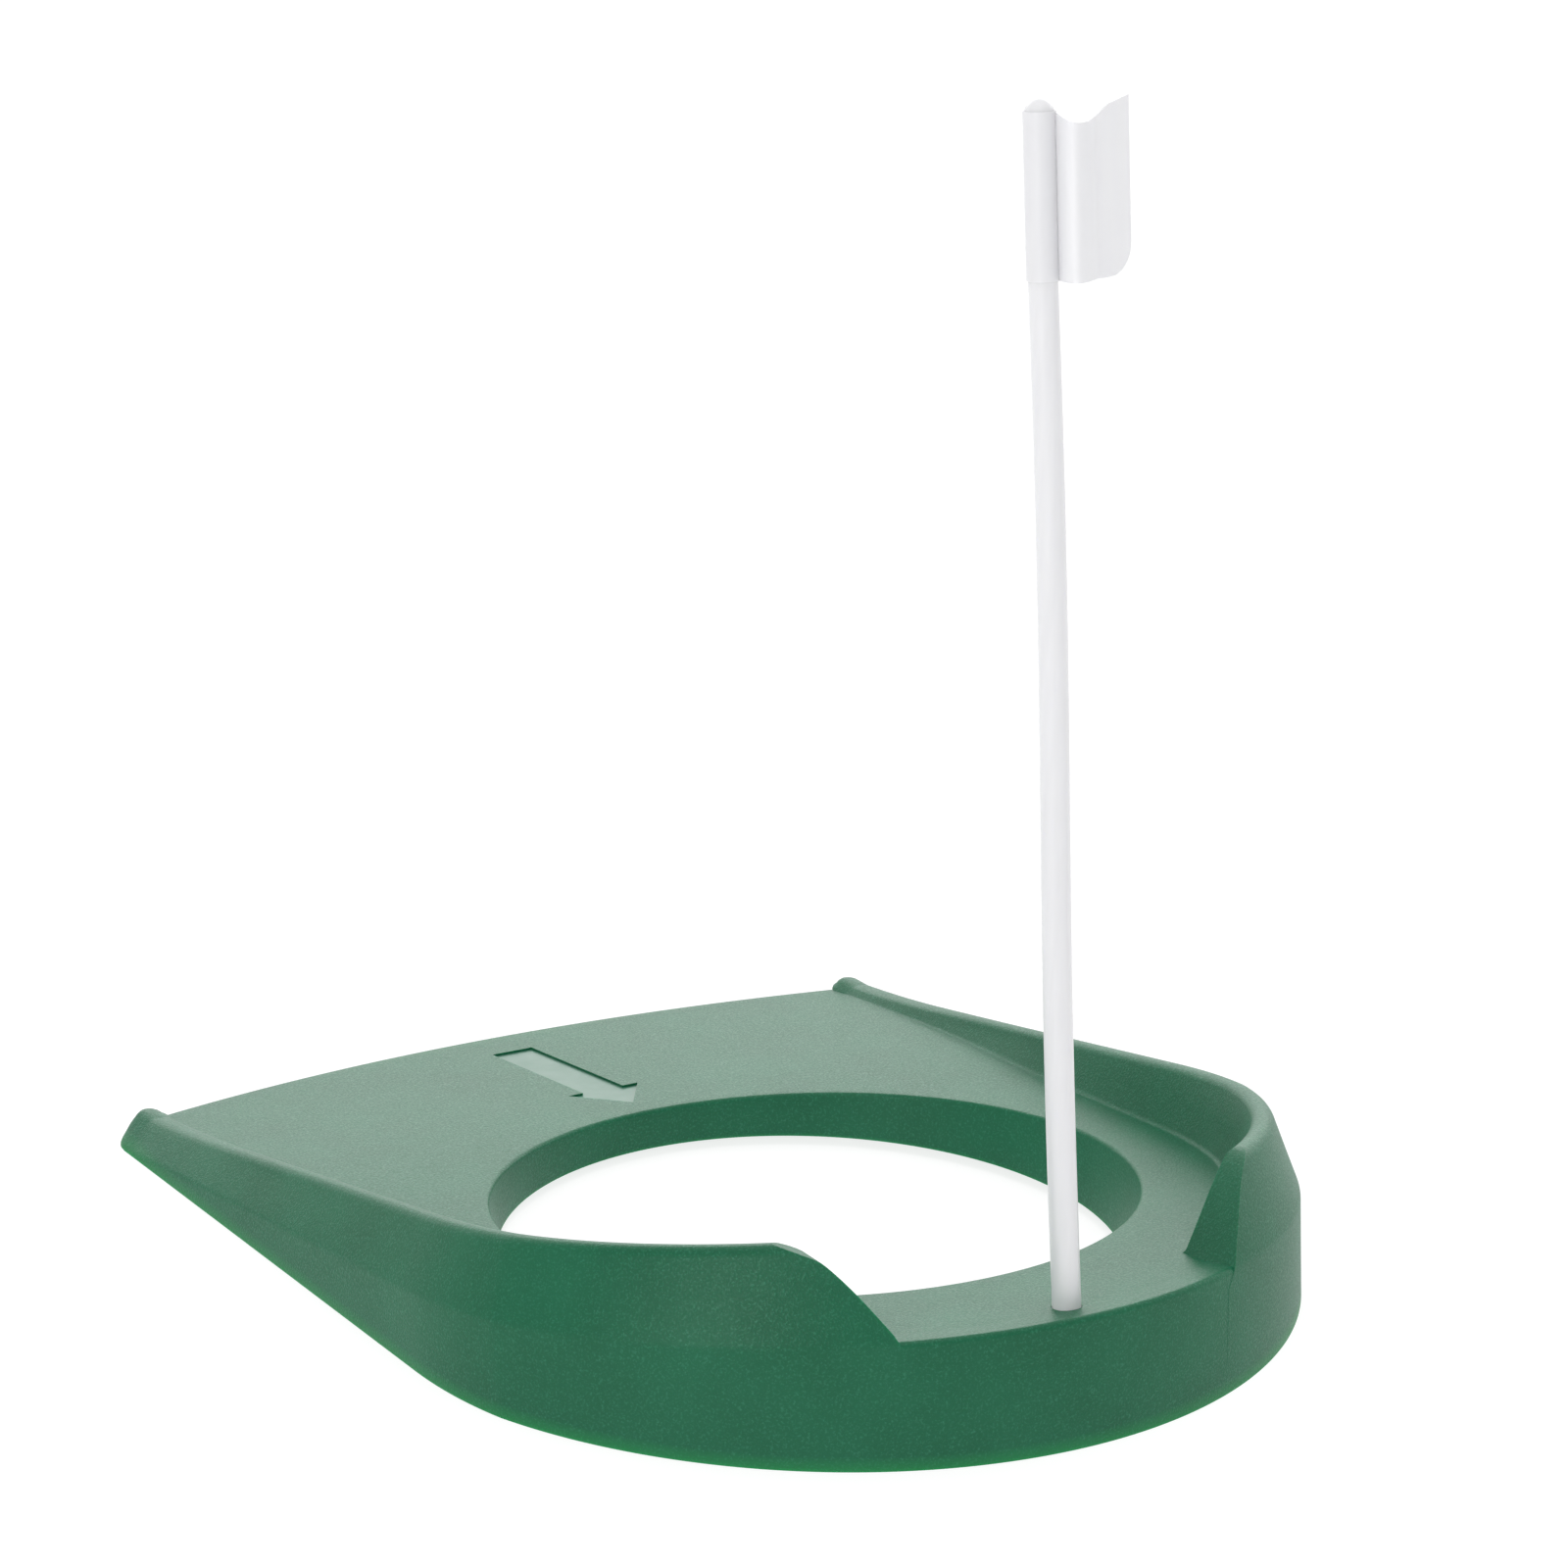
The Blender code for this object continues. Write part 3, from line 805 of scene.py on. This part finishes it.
def polished_green_painted_sheen():
    """The same plastic where the tool was polished: the floor of the arrow. Its base colour is
    lighter and greyer than the deck's, a painted sheen standing in for the polished floor's
    reflection.
    """
    n = Nodes("polished_green_painted_sheen")
    haze = n.noise(220.0, 3.0, 0.6)
    # Painted sheen: both floor greens are lighter and greyer than the deck's, standing in for
    # reflection off the polished floor.
    n.link(n.mix(haze, (0.040, 0.150, 0.095), (0.050, 0.162, 0.106)), n.shader.inputs["Base Color"])
    n.link(n.map(haze, 0.3, 0.7, 0.32, 0.38), n.shader.inputs["Roughness"])
    n.set(IOR=1.50, Specular_IOR_Level=0.30, Subsurface_Weight=0.15)
    n.set(Subsurface_Radius=(0.25, 1.0, 0.45), Subsurface_Scale=0.002)
    n.bump(haze, 0.02, 0.00002)
    return n.mat


def white_plastic():
    """Glossy white rod with faint lengthwise draw marks."""
    n = Nodes("white_plastic")
    streak = n.noise(900.0, 2.0, 0.5, (1.0, 1.0, 0.03))
    fine = n.noise(1500.0, 2.0, 0.5)
    n.link(n.mix(streak, (0.74, 0.74, 0.755), (0.80, 0.80, 0.815)), n.shader.inputs["Base Color"])
    n.link(n.map(fine, 0.3, 0.7, 0.28, 0.40), n.shader.inputs["Roughness"])
    n.set(IOR=1.49, Subsurface_Weight=0.25)
    n.set(Subsurface_Radius=(1.0, 1.0, 1.1), Subsurface_Scale=0.002)
    n.bump(streak, 0.10, 0.00004)
    return n.mat


def milky_sheet():
    """Thin milky plastic sheet with faint upright bands."""
    n = Nodes("milky_sheet")
    band = n.noise(420.0, 1.0, 0.4, (1.0, 1.0, 0.05))
    fine = n.noise(1800.0, 2.0, 0.5)
    n.link(n.mix(band, (0.93, 0.93, 0.96), (0.97, 0.97, 0.98)), n.shader.inputs["Base Color"])
    n.link(n.map(fine, 0.3, 0.7, 0.30, 0.42), n.shader.inputs["Roughness"])
    n.set(IOR=1.45, Transmission_Weight=0.25)
    n.bump(band, 0.12, 0.00005)
    return n.mat


def floor_white():
    n = Nodes("floor_white")
    speck = n.noise(8.0, 2.0, 0.5)
    n.link(n.mix(speck, (0.28, 0.28, 0.28), (0.30, 0.30, 0.30)), n.shader.inputs["Base Color"])
    n.set(Roughness=0.9, Specular_IOR_Level=0.0, Emission_Strength=0.80)
    n.shader.inputs["Emission Color"].default_value = (1.0, 1.0, 1.0, 1.0)
    return n.mat


def finish_piece(obj, mat, body, node, sharp=32.0):
    obj.data.materials.clear()
    obj.data.materials.append(mat)
    obj.data.shade_smooth()
    obj.data.set_sharp_from_angle(angle=radians(sharp))
    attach(obj, body)
    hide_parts(node)


def mark_arrow(obj, mat):
    """Give the arrow's sunken floor the polished finish, with its painted sheen."""
    obj.data.materials.append(mat)
    for face in obj.data.polygons:
        x, y, z = face.center
        y -= HOLE_Y
        inside = ARROW_TIP_Y < y < ARROW_TAIL_Y and abs(x) < ARROW_HEAD
        if inside and face.normal.z > 0.9 and abs(z - ramp_z(y) + ARROW_DEPTH) < 0.0001:
            face.material_index = 1


moulding = build_base()
stick = build_stick()
flag = build_flag()
finish_piece(moulding, green_plastic(), "base", "base")
mark_arrow(moulding, polished_green_painted_sheen())
finish_piece(stick, white_plastic(), "flagstick", "flagstick")
finish_piece(flag, milky_sheet(), "flag", "flag")

# Floor, light and camera ----------------------------------------------------
bm = bmesh.new()
bmesh.ops.create_grid(bm, x_segments=1, y_segments=1, size=6.0)
floor = add_object("floor", bm)
floor.data.materials.append(floor_white())


def studio_world():
    """Soft white surroundings: dim overhead and behind the camera, and a bright low band
    behind the object, which the ramp mirrors at a grazing angle."""
    world = bpy.data.worlds.new("studio")
    world.use_nodes = True
    tree = world.node_tree

    def calc(operation, one, two=None):
        node = tree.nodes.new("ShaderNodeMath")
        node.operation = operation
        for value, socket in ((one, node.inputs[0]), (two, node.inputs[1])):
            if value is None:
                continue
            if isinstance(value, float):
                socket.default_value = value
            else:
                tree.links.new(value, socket)
        return node.outputs[0]

    parts = tree.nodes.new("ShaderNodeSeparateXYZ")
    tree.links.new(tree.nodes.new("ShaderNodeTexCoord").outputs["Generated"], parts.inputs[0])
    x, y, z = parts.outputs
    facing = calc("ADD", calc("MULTIPLY", x, 0.62), calc("MULTIPLY", y, 0.785))
    facing = calc("MAXIMUM", facing, 0.0)
    low = calc("SUBTRACT", 1.0, calc("MULTIPLY", calc("ABSOLUTE", calc("SUBTRACT", z, 0.36)), 2.5))
    low = calc("MAXIMUM", low, 0.0)
    band = calc("MULTIPLY", calc("POWER", facing, 1.5), low)
    strength = calc("ADD", calc("MULTIPLY", band, BAND_STRENGTH), SKY_STRENGTH)
    tree.nodes["Background"].inputs["Color"].default_value = (1.0, 1.0, 1.0, 1.0)
    tree.links.new(strength, tree.nodes["Background"].inputs["Strength"])
    scene.world = world


studio_world()


def soft_light(name, place, target, size, power):
    light = bpy.data.lights.new(name, "AREA")
    light.shape = "RECTANGLE"
    light.size, light.size_y = size
    light.energy = power
    obj = bpy.data.objects.new(name, light)
    scene.collection.objects.link(obj)
    back = (Vector(place) - Vector(target)).normalized()
    obj.matrix_world = Matrix.Translation(place) @ back.to_track_quat("Z", "Y").to_matrix().to_4x4()
    return obj


soft_light("side", (-0.95, -0.62, 0.42), (-0.04, -0.05, 0.025), (0.28, 0.28), 3.2)
soft_light("top", (0.1, 0.0, 1.6), (0.0, 0.0, 0.02), (1.4, 1.4), 8.0)

camera_data = bpy.data.cameras.new("camera")
camera_data.lens = CAMERA_LENS
camera_data.sensor_width = 36.0
camera_data.clip_start = 0.01
camera = bpy.data.objects.new("camera", camera_data)
scene.collection.objects.link(camera)
turn = Matrix((CAMERA_RIGHT, CAMERA_UP, CAMERA_BACK)).transposed().to_4x4()
place = Vector(CAMERA_PLACE) + Vector((0.0, HOLE_Y, 0.0))
camera.matrix_world = Matrix.Translation(place) @ turn
scene.camera = camera
scene.view_settings.view_transform = "Standard"
